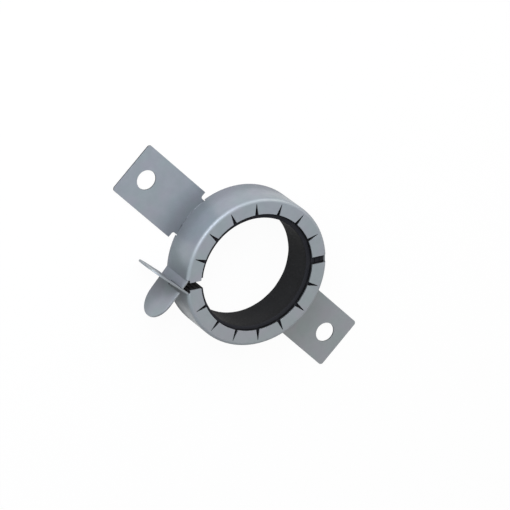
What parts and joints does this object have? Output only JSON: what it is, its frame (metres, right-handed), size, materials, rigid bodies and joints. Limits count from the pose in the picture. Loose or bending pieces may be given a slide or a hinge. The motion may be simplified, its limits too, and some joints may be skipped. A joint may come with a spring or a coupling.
{
  "type": "pipe fire collar",
  "caption": "Folded steel ring with turned-in lips, hooked closing lugs and two fixing tabs, lined with intumescent strips that seal a plastic pipe in a fire.",
  "frame": {"origin": "on the pipe's axis, in the plane of the wall or ceiling that the collar is screwed to", "axes": "+Z along the pipe's axis, from the fixing surface to the lips; X along the line through the two fixing holes; +Y square to both"},
  "size_m": [0.1488, 0.0805, 0.02],
  "materials": {
    "zinc_coated_steel": "satin zinc-coated sheet",
    "intumescent_graphite": "matt"
  },
  "bodies": {
    "root": {"steel_shell": "zinc_coated_steel", "intumescent_strip_1": "intumescent_graphite", "intumescent_strip_2": "intumescent_graphite", "intumescent_strip_3": "intumescent_graphite", "intumescent_strip_4": "intumescent_graphite"}
  },
  "joints": []
}
